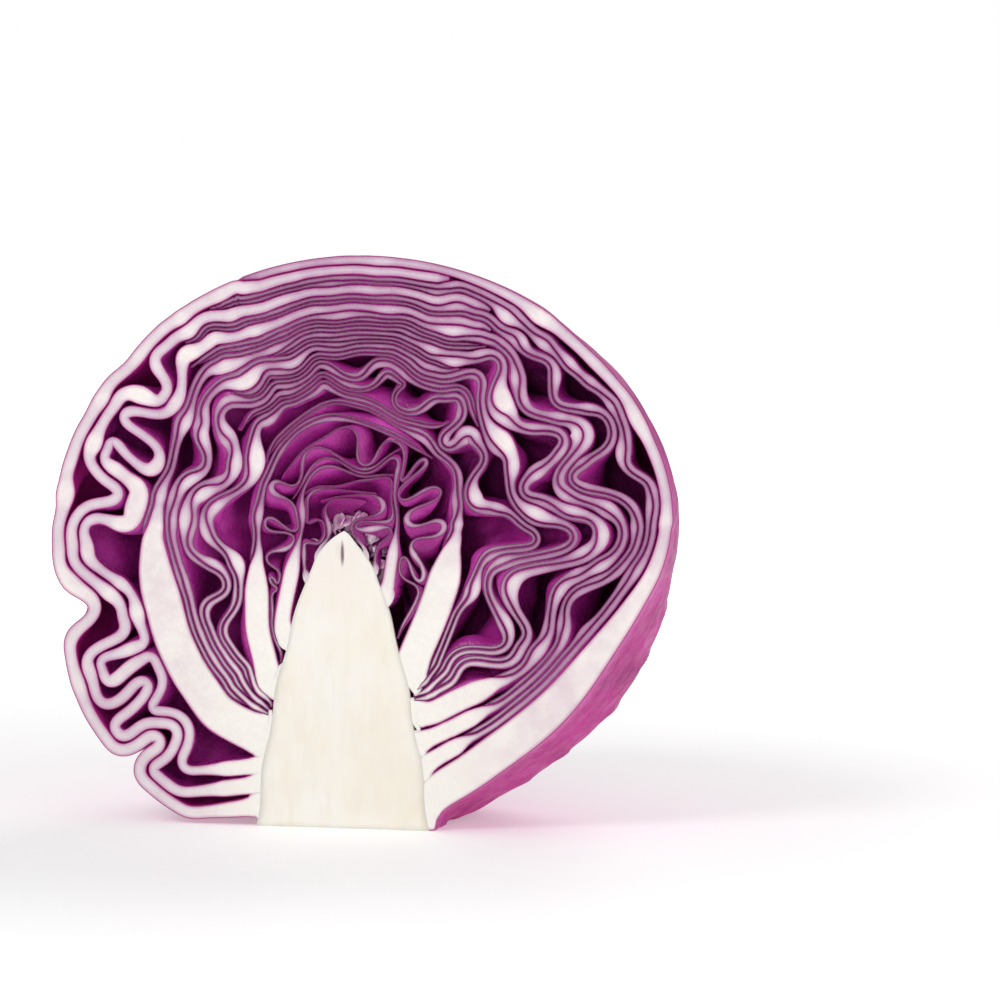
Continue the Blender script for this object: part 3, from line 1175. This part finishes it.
def leaf_material(name, skin_stops, line, streak_colour, smoothest=0.17):
    """Waxy leaf: glossy anthocyanin skin, and translucent wet flesh where the knife has cut it.

    The skin is a smooth waxy film, so it gives sharp highlights; the flesh is cells full of water, so
    light passes into it and it glistens in fine specks. Veins show pale through the skin, and the skin
    between them is streaked along the way that the blade has stretched.
    """
    material, tree, shader = new_material(name)
    place = add(tree, "ShaderNodeTexCoord", output="Object")
    depth, vein, half = (
        add(tree, "ShaderNodeAttribute", {"attribute_name": name}, "Fac")
        for name in ("skin_depth", "vein", "flesh_half")
    )
    on_leaf = add(tree, "ShaderNodeAttribute", {"attribute_name": "on_leaf"}, "Vector")
    patches = add(tree, "ShaderNodeTexNoise", Vector=place, Scale=1 / (14.0 * MM), Detail=4.0)
    skin = add(tree, "ShaderNodeValToRGB", stops=skin_stops, _0=patches)
    long_way = add(tree, "ShaderNodeMapping", Vector=on_leaf, Scale=(1, 0.12, 1))
    streaks = add(tree, "ShaderNodeTexNoise", Vector=long_way, Scale=1 / (6.0 * MM), Detail=4.0)
    streaked = add(tree, "ShaderNodeMapRange", Value=streaks, From_Min=0.45, From_Max=0.72, To_Max=0.3)
    raised = add(tree, "ShaderNodeMapRange", Value=vein, From_Min=0.1, From_Max=1.0, To_Max=0.8)
    pale = add(tree, "ShaderNodeMath", {"operation": "MAXIMUM"}, _0=streaked, _1=raised)
    skin = add(tree, "ShaderNodeMix", BLEND, 2, _0=pale, _6=skin, _7=streak_colour)
    flesh = flesh_colour(tree, place, depth, half, line)
    is_flesh = add(tree, "ShaderNodeMapRange", Value=depth, From_Min=0.01, From_Max=0.07)
    colour = add(tree, "ShaderNodeMix", BLEND, 2, _0=is_flesh, _6=skin, _7=flesh)
    specks = add(tree, "ShaderNodeTexNoise", Vector=place, Scale=1 / (0.9 * MM), Detail=2.0)
    cells = add(tree, "ShaderNodeTexNoise", Vector=place, Scale=1 / (2.6 * MM), Detail=3.0)
    height = add(tree, "ShaderNodeMath", {"operation": "ADD"}, _0=specks, _1=cells)
    limits = {"From_Min": 0.35, "From_Max": 0.7, "To_Min": smoothest, "To_Max": smoothest + 0.22}
    roughness = add(tree, "ShaderNodeMapRange", Value=cells, **limits)
    finish_shader(tree, shader, colour, roughness, height, 0.8, 0.25, (0.15, (1.0, 0.5, 0.8), 0.7))
    return material


def inner_leaf_material():
    """Skin of the shaded leaves inside the head: deep purple, plum where it lies in the dark."""
    colours = bpy.context.scene.cabbage_colours
    stops = [(0.3, linear("#82166A")), (0.5, colours.skin), (0.72, linear("#C440A8"))]
    return leaf_material("shaded purple leaf", stops, colours.skin_line, linear("#A24894"))


def outer_leaf_material():
    """Skin of the outermost leaves: pink-magenta, where sun and handling have paled it, with white veins."""
    colours = bpy.context.scene.cabbage_colours
    stops = [(0.3, linear("#980E70")), (0.5, colours.outer_skin), (0.72, linear("#C8309A"))]
    return leaf_material("waxy magenta outer leaf", stops, linear("#A2187A"), colours.outer_vein, 0.38)


def core_material():
    """Cut stem pith: cream, dense and wet, with faint fibres that run up it."""
    colours = bpy.context.scene.cabbage_colours
    material, tree, shader = new_material("wet cream core")
    place = add(tree, "ShaderNodeTexCoord", output="Object")
    tall = add(tree, "ShaderNodeMapping", Vector=place, Scale=(1, 1, 0.18))
    fibre = add(tree, "ShaderNodeTexNoise", Vector=tall, Scale=1 / (1.6 * MM), Detail=4.0)
    cloud = add(tree, "ShaderNodeTexNoise", Vector=place, Scale=1 / (16.0 * MM), Detail=3.0)
    clouded = add(tree, "ShaderNodeMapRange", Value=cloud, From_Min=0.35, From_Max=0.7)
    cream = add(tree, "ShaderNodeMix", BLEND, 2, _0=clouded, _6=colours.core, _7=linear("#F1EADB"))
    near_core = core_nearness(tree, place)
    base = add(tree, "ShaderNodeMix", BLEND, 2, _0=near_core, _6=colours.flesh, _7=cream)
    strands = add(tree, "ShaderNodeMapRange", Value=fibre, From_Min=0.45, From_Max=0.75, To_Max=0.35)
    pith = add(tree, "ShaderNodeMix", BLEND, 2, _0=strands, _6=base, _7=linear("#E9E1D0"))
    at_slit = Vector((CORE_X, CUT_Y, CORE_TOP - SLIT_DOWN)) * MM
    moved = add(tree, "ShaderNodeVectorMath", {"operation": "SUBTRACT"}, _0=place, _1=at_slit)
    narrowed = add(tree, "ShaderNodeMapping", Vector=moved, Scale=(5.5, 1, 1))
    from_slit = add(tree, "ShaderNodeVectorMath", {"operation": "LENGTH"}, "Value", _0=narrowed)
    limits = {"From_Min": 0.0036, "From_Max": 0.0016, "To_Max": 0.85}
    in_slit = add(tree, "ShaderNodeMapRange", Value=from_slit, **limits)
    colour = add(tree, "ShaderNodeMix", BLEND, 2, _0=in_slit, _6=pith, _7=linear("#6E3A5C"))
    limits = {"From_Min": 0.3, "From_Max": 0.7, "To_Min": 0.28, "To_Max": 0.45}
    roughness = add(tree, "ShaderNodeMapRange", Value=fibre, **limits)
    finish_shader(tree, shader, colour, roughness, fibre, 0.35, 0.25, (0.3, (1.0, 0.8, 0.55), 1.5))
    return material


# ---------------------------------------------------------------- pieces

DOME_FROM = 62  # height at which the core rounds over into its tip, and its radius there
DOME_RADIUS = 9
CORE_PROUD = 0.015  # the core's cut face stands this far before the leaves', so that it shows where they meet
SLIT_DOWN = 5.5  # the slit in the core's tip: below the top, and how deep
SLIT_DEPTH = 0.9


def settle(piece, material, slot, *nodes):
    """Give a finished piece its material, its body, and the CAD nodes that it stands for."""
    piece.data.materials.clear()
    piece.data.materials.append(material)
    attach(piece, "root")
    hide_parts(*nodes)


def node_name(number):
    """The CAD node of a leaf, by its place in LEAVES."""
    side = "right" if LEAVES[number].side == RIGHT else "left"
    return f"{side}_leaf_{number // 2 + 1:02d}"


def core_piece():
    """The core: a round tapering stem with a flat cut face and an uneven tip with a slit."""
    tip = CORE_TOP - 10 * np.linspace(1, 0, 21)[1:] ** 1.5
    heights = np.concatenate([np.linspace(0, CORE_TOP - 10, 34), tip])
    widths = eased(np.interp(heights, [z for _, z in CORE_PROFILE], [r for r, _ in CORE_PROFILE]))
    near_tip = smooth(CORE_TOP - 14, CORE_TOP - 2, heights)
    up_dome = np.clip((heights - DOME_FROM) / (CORE_TOP - DOME_FROM), 0, 1)
    dome = DOME_RADIUS * np.maximum(1 - up_dome**1.7, 1e-3) ** 0.8
    widths = np.where(heights > DOME_FROM, dome, widths) * (1 - 0.12 * near_tip)
    widths[-1] = 0.3
    turns = np.linspace(0, math.pi, 29)
    across = np.linspace(-1, 1, 19)[1:-1]
    round_x, round_y = np.r_[np.cos(turns), across], np.r_[np.sin(turns), 0 * across]
    is_cut = np.r_[0 * turns, 0 * across + 1]
    points = []
    for height, width, near in zip(heights, widths, near_tip):
        uneven = 0.06 * near * np.sin(height * 0.9 + 2 * round_x) + 0.02 * np.sin(height * 0.31 + 3 * round_x)
        reach = width * (1 + uneven)
        slit = np.exp(-(((round_x * width + 0.3) / 0.45) ** 2) - ((height - CORE_TOP + SLIT_DOWN) / 2.6) ** 4)
        x = CORE_X + 0.5 * near * math.sin(height * 0.7) + round_x * reach
        y = CUT_Y - CORE_PROUD + round_y * reach + SLIT_DEPTH * slit * is_cut
        points.append(np.stack([x, y, np.full(len(x), height)], 1))
    ring = len(round_x)
    index = np.arange(len(heights) * ring).reshape(len(heights), ring)
    after = np.roll(index, -1, 1)
    faces = np.stack([index[:-1], after[:-1], after[1:], index[1:]], -1).reshape(-1, 4).tolist()
    faces += [index[0, ::-1].tolist(), index[-1].tolist()]
    points = np.concatenate(points)
    return leaf_object("core_flesh", points, faces, np.zeros((2, len(points))), np.zeros((len(points), 4)))


class CABBAGE_OT_core(bpy.types.Operator):
    """Make the core"""

    bl_idname = "cabbage.core"
    bl_label = "Core"

    def execute(self, context):
        settle(core_piece(), core_material(), "core_flesh", "core")
        return {"FINISHED"}


class CABBAGE_OT_outer_leaves(bpy.types.Operator):
    """Make the two outermost leaves"""

    bl_idname = "cabbage.outer_leaves"
    bl_label = "Outer leaves"

    def execute(self, context):
        material = outer_leaf_material()
        leaves = grown_leaves()
        settle(wrapping_leaf("outer_right_leaf", leaves[0]), material, "outer_leaf", node_name(0))
        settle(folded_leaf("outer_left_leaf", leaves[1]), material, "outer_leaf", node_name(1))
        return {"FINISHED"}


class CABBAGE_OT_inner_leaves(bpy.types.Operator):
    """Make the leaves inside the head"""

    bl_idname = "cabbage.inner_leaves"
    bl_label = "Inner leaves"

    def execute(self, context):
        material = inner_leaf_material()
        leaves = grown_leaves()
        for number in range(2, NODE_LEAVES):
            piece = folded_leaf(f"folded_{node_name(number)}", leaves[number])
            settle(piece, material, "leaf", node_name(number))
        return {"FINISHED"}


def scatter_tree():
    """A node tree that scatters copies of a small piece over a guide surface, standing on its normals."""
    tree = bpy.data.node_groups.new("scatter over a surface", "GeometryNodeTree")
    sockets = (
        ("Guide", "NodeSocketGeometry"),
        ("Piece", "NodeSocketObject"),
        ("Material", "NodeSocketMaterial"),
        ("Density", "NodeSocketFloat"),
        ("Least Apart", "NodeSocketFloat"),
        ("Smallest", "NodeSocketFloat"),
        ("Largest", "NodeSocketFloat"),
        ("Tilt", "NodeSocketFloat"),
        ("Seed", "NodeSocketInt"),
    )
    for name, kind in sockets:
        tree.interface.new_socket(name, in_out="INPUT", socket_type=kind)
    tree.interface.new_socket("Geometry", in_out="OUTPUT", socket_type="NodeSocketGeometry")
    given = add(tree, "NodeGroupInput").node.outputs
    points = add(
        tree,
        "GeometryNodeDistributePointsOnFaces",
        {"distribute_method": "POISSON"},
        "Points",
        Mesh=given["Guide"],
        Distance_Min=given["Least Apart"],
        Density_Max=given["Density"],
        Seed=given["Seed"],
    )
    random = "FunctionNodeRandomValue", {"data_type": "FLOAT"}, 1
    seed, largest_tilt = given["Seed"], given["Tilt"]
    other_way = add(tree, "ShaderNodeMath", {"operation": "MULTIPLY"}, _0=largest_tilt, _1=-1)
    tilt = add(tree, *random, Seed=seed, _2=other_way, _3=largest_tilt)
    spin = add(tree, *random, Seed=seed, _3=2 * math.pi)
    angles = add(tree, "ShaderNodeCombineXYZ", X=tilt, Z=spin)
    own_turn = add(tree, "FunctionNodeEulerToRotation", Euler=angles)
    upright = points.node.outputs["Rotation"]
    local = {"rotation_space": "LOCAL"}
    turned = add(tree, "FunctionNodeRotateRotation", local, Rotation=upright, Rotate_By=own_turn)
    scale = add(tree, *random, Seed=seed, _2=given["Smallest"], _3=given["Largest"])
    copies = add(
        tree,
        "GeometryNodeInstanceOnPoints",
        Points=points,
        Instance=add(tree, "GeometryNodeObjectInfo", output="Geometry", Object=given["Piece"]),
        Rotation=turned,
        Scale=scale,
    )
    real = add(tree, "GeometryNodeRealizeInstances", Geometry=copies)
    dressed = add(tree, "GeometryNodeSetMaterial", Geometry=real, Material=given["Material"])
    add(tree, "NodeGroupOutput", Geometry=dressed)
    return tree


def scattered(name, guide, settings):
    """A plain mesh object of small pieces scattered over a guide object, which is left as it was."""
    tree = scatter_tree()
    modifier = guide.modifiers.new("scatter", "NODES")
    modifier.node_group = tree
    identifiers = {item.name: item.identifier for item in tree.interface.items_tree if item.in_out == "INPUT"}
    for key, value in settings.items():
        modifier[identifiers[key]] = value
    guide.update_tag()
    evaluated = guide.evaluated_get(bpy.context.evaluated_depsgraph_get())
    mesh = bpy.data.meshes.new_from_object(evaluated)
    guide.modifiers.remove(modifier)
    return in_scene(name, mesh)


def leaflet():
    """One tiny curled leaf, standing on its foot, one millimetre and a half long."""
    rows, columns = 7, 9
    along, across = np.meshgrid(np.linspace(0, 1, rows), np.linspace(-1, 1, columns), indexing="ij")
    width = 0.55 * np.sin(math.pi * (0.12 + 0.8 * along)) ** 0.8
    x = across * width
    y = 0.45 * along**2 + 0.45 * (across * width) ** 2 + 0.06 * np.sin(6 * along + 5 * across) * along
    front = np.stack([x, y, along * 1.5], 2)
    back = front + np.array([0, 0.14, 0])
    lines = np.concatenate([front, back[::-1]])
    count = 2 * rows
    index = np.arange(count * columns).reshape(count, columns)
    quads = grid_quads(index).tolist()
    quads += np.stack([index[-1, :-1], index[-1, 1:], index[0, 1:], index[0, :-1]], -1).tolist()
    for column in (0, columns - 1):
        for row in range(rows - 1):
            quad = [index[row, column], index[row + 1, column], index[count - 2 - row, column]]
            quad.append(index[count - 1 - row, column])
            quads.append([int(i) for i in (quad if column == 0 else quad[::-1])])
    marks = np.zeros((count * columns, 4))
    return leaf_object("leaflet", lines.reshape(-1, 3), quads, np.zeros((2, count * columns)), marks)


def tip_guide():
    """A dome round the core's tip, behind the cut, on which the tiniest leaves stand."""
    rows, columns = 8, 14
    points = []
    for row in range(rows):
        rise = math.radians(-50 + 125 * row / (rows - 1))
        for column in range(columns):
            turn = math.radians(22 + 136 * column / (columns - 1))
            x = 7.5 * math.cos(rise) * math.cos(turn)
            y = 6.5 * math.cos(rise) * math.sin(turn)
            points.append((CORE_X + 0.8 + x, CUT_Y + y, CORE_TOP - 8 + 9.5 * math.sin(rise)))
    index = np.arange(rows * columns).reshape(rows, columns)
    faces = grid_quads(index)
    mesh = bpy.data.meshes.new("tip guide")
    mesh.from_pydata((np.array(points) * MM).tolist(), [], faces.tolist())
    middle = mesh.polygons[len(mesh.polygons) // 2]
    if middle.normal.y < 0:
        mesh.flip_normals()
    return in_scene("tip guide", mesh)


def bud_material():
    """The youngest leaves: hardly any pigment yet, so pale pinkish lilac and very translucent."""
    material, tree, shader = new_material("pale young leaf")
    place = add(tree, "ShaderNodeTexCoord", output="Object")
    blush = add(tree, "ShaderNodeTexNoise", Vector=place, Scale=1 / (2.2 * MM), Detail=3.0)
    stops = [(0.35, linear("#F6E2EE")), (0.5, linear("#E6B4D6")), (0.66, linear("#C070B0"))]
    colour = add(tree, "ShaderNodeValToRGB", stops=stops, _0=blush)
    limits = {"From_Min": 0.3, "From_Max": 0.7, "To_Min": 0.2, "To_Max": 0.4}
    roughness = add(tree, "ShaderNodeMapRange", Value=blush, **limits)
    finish_shader(tree, shader, colour, roughness, blush, 0.3, 0.2, (0.1, (1.0, 0.6, 0.8), 0.2))
    return material


class CABBAGE_OT_heart_bud(bpy.types.Operator):
    """Make the heart's tiny leaves"""

    bl_idname = "cabbage.heart_bud"
    bl_label = "Heart bud"

    def execute(self, context):
        leaves = grown_leaves()
        numbers = range(NODE_LEAVES, len(LEAVES))
        parts = [folded_leaf(f"heart_part_{number}", leaves[number]) for number in numbers]
        joined = join_pieces("heart_leaves", parts)
        settle(joined, inner_leaf_material(), "heart_bud", "heart_bud")
        material = bud_material()
        one, guide = leaflet(), tip_guide()
        settings = {
            "Piece": one,
            "Material": material,
            "Density": 1e6,
            "Least Apart": 1.2 * MM,
            "Smallest": 1.8,  # times the leaflet's own size
            "Largest": 3.2,
            "Tilt": 0.5,
            "Seed": context.scene.cabbage_sizes.seed,
        }
        leaflets = scattered("tip_leaflets", guide, settings)
        for helper in (one, guide):
            bpy.data.objects.remove(helper)
        settle(leaflets, material, "heart_bud", "heart_bud")
        return {"FINISHED"}


def join_pieces(name, parts):
    """Join pieces into the first, and name it."""
    with bpy.context.temp_override(active_object=parts[0], selected_editable_objects=parts):
        bpy.ops.object.join()
    parts[0].name = name
    return parts[0]


# ---------------------------------------------------------------- stage

VIEW_TURN = math.radians(12)  # the camera stands to the right of the cut face
VIEW_RISE = math.radians(5)
VIEW_DISTANCE = 1.1
VIEW_WIDTH = 0.2465  # width that the camera frames at the cut face
VIEW_SHIFT = (0.142, 0.0395)  # leaves room at the right and above
SENSOR = 36.0  # the camera's width behind its lens, in millimetres
LIGHTS = (
    ("key", (-0.55, -0.9, 1.0), 0.5, 4.8),  # name, place, size in metres, watts
    ("fill", (0.9, -0.8, 0.5), 0.9, 2.0),
    ("front", (0.1, -1.3, 0.25), 0.4, 2.5),
    ("back", (0.4, 0.9, 0.9), 0.8, 5),
)
WORLD_LIGHT = 0.38


def floor_material():
    """Matt white paper, lit a little from within so that it fades into the white behind it."""
    material, tree, shader = new_material("matt white paper")
    place = add(tree, "ShaderNodeTexCoord", output="Object")
    tooth = add(tree, "ShaderNodeTexNoise", Vector=place, Scale=1 / (0.6 * MM), Detail=3.0)
    colours = {"_6": linear("#FAFAFA"), "_7": linear("#F6F6F6")}
    white = add(tree, "ShaderNodeMix", BLEND, 2, _0=tooth, **colours)
    roughness = add(tree, "ShaderNodeMapRange", Value=tooth, To_Min=0.5, To_Max=0.65)
    finish_shader(tree, shader, white, roughness, tooth, 0.1, 0.05)
    away = add(tree, "ShaderNodeVectorMath", {"operation": "LENGTH"}, "Value", _0=place)
    limits = {"From_Min": 0.12, "From_Max": 0.9, "To_Min": 0.28, "To_Max": 0.75}
    glow = add(tree, "ShaderNodeMapRange", Value=away, **limits)
    shader.inputs["Emission Color"].default_value = (1, 1, 1, 1)
    tree.links.new(glow, shader.inputs["Emission Strength"])
    return material


def area_light(name, place, target, size, power):
    """A soft square light, aimed at a point."""
    data = bpy.data.lights.new(name, "AREA")
    data.size = size
    data.energy = power
    light = in_scene(name, data)
    light.location = place
    light.rotation_euler = (Vector(target) - Vector(place)).to_track_quat("-Z", "Y").to_euler()


class CABBAGE_OT_stage(bpy.types.Operator):
    """Set the floor, the light and the camera"""

    bl_idname = "cabbage.stage"
    bl_label = "Stage"

    def execute(self, context):
        bpy.ops.mesh.primitive_plane_add(size=6, location=(0, 0, 0))
        floor = context.object
        floor.name = "floor"
        floor.data.materials.append(floor_material())
        centre = (MIDDLE_X * MM, CUT_Y * MM, sizes()["centre_height"] * MM)
        for name, place, size, power in LIGHTS:
            area_light(name, place, centre, size, power)
        world = bpy.data.worlds.new("studio")
        world.use_nodes = True
        tree = world.node_tree
        is_seen = add(tree, "ShaderNodeLightPath", output="Is Camera Ray")
        strength = add(tree, "ShaderNodeMapRange", Value=is_seen, To_Min=WORLD_LIGHT, To_Max=1.0)
        background = tree.nodes["Background"]
        background.inputs["Color"].default_value = (1, 1, 1, 1)
        tree.links.new(strength, background.inputs["Strength"])
        context.scene.world = world
        data = bpy.data.cameras.new("camera")
        data.sensor_width = SENSOR
        data.lens = SENSOR * VIEW_DISTANCE / VIEW_WIDTH
        data.shift_x, data.shift_y = VIEW_SHIFT
        camera = in_scene("camera", data)
        away = Vector(
            (
                math.sin(VIEW_TURN) * math.cos(VIEW_RISE),
                -math.cos(VIEW_TURN) * math.cos(VIEW_RISE),
                math.sin(VIEW_RISE),
            )
        )
        camera.location = Vector(centre) + away * VIEW_DISTANCE
        camera.rotation_euler = (-away).to_track_quat("-Z", "Y").to_euler()
        context.scene.camera = camera
        context.scene.view_settings.view_transform = "Standard"
        return {"FINISHED"}


class CABBAGE_PT_panel(bpy.types.Panel):
    """Lists the steps that make the head"""

    bl_idname = "CABBAGE_PT_panel"
    bl_label = "Halved Red Cabbage"
    bl_space_type = "VIEW_3D"
    bl_region_type = "UI"
    bl_category = "Cabbage"

    def draw(self, context):
        for group in (context.scene.cabbage_sizes, context.scene.cabbage_colours):
            for name in group.__annotations__:
                self.layout.prop(group, name)
        for operator in OPERATORS:
            self.layout.operator(operator.bl_idname)


OPERATORS = (
    CABBAGE_OT_stage,
    CABBAGE_OT_core,
    CABBAGE_OT_outer_leaves,
    CABBAGE_OT_inner_leaves,
    CABBAGE_OT_heart_bud,
)
CLASSES = (HeadSizes, LeafColours, *OPERATORS, CABBAGE_PT_panel)


def register():
    """Register the classes and the settings that they keep on the scene."""
    for kind in CLASSES:
        bpy.utils.register_class(kind)
    bpy.types.Scene.cabbage_sizes = bpy.props.PointerProperty(type=HeadSizes)
    bpy.types.Scene.cabbage_colours = bpy.props.PointerProperty(type=LeafColours)


def unregister():
    """Remove what register added."""
    del bpy.types.Scene.cabbage_colours
    del bpy.types.Scene.cabbage_sizes
    for kind in reversed(CLASSES):
        bpy.utils.unregister_class(kind)


def main():
    """Make everything in order."""
    register()
    bpy.ops.cabbage.stage()
    bpy.ops.cabbage.core()
    bpy.ops.cabbage.outer_leaves()
    bpy.ops.cabbage.inner_leaves()
    bpy.ops.cabbage.heart_bud()


if __name__ == "__main__":
    main()
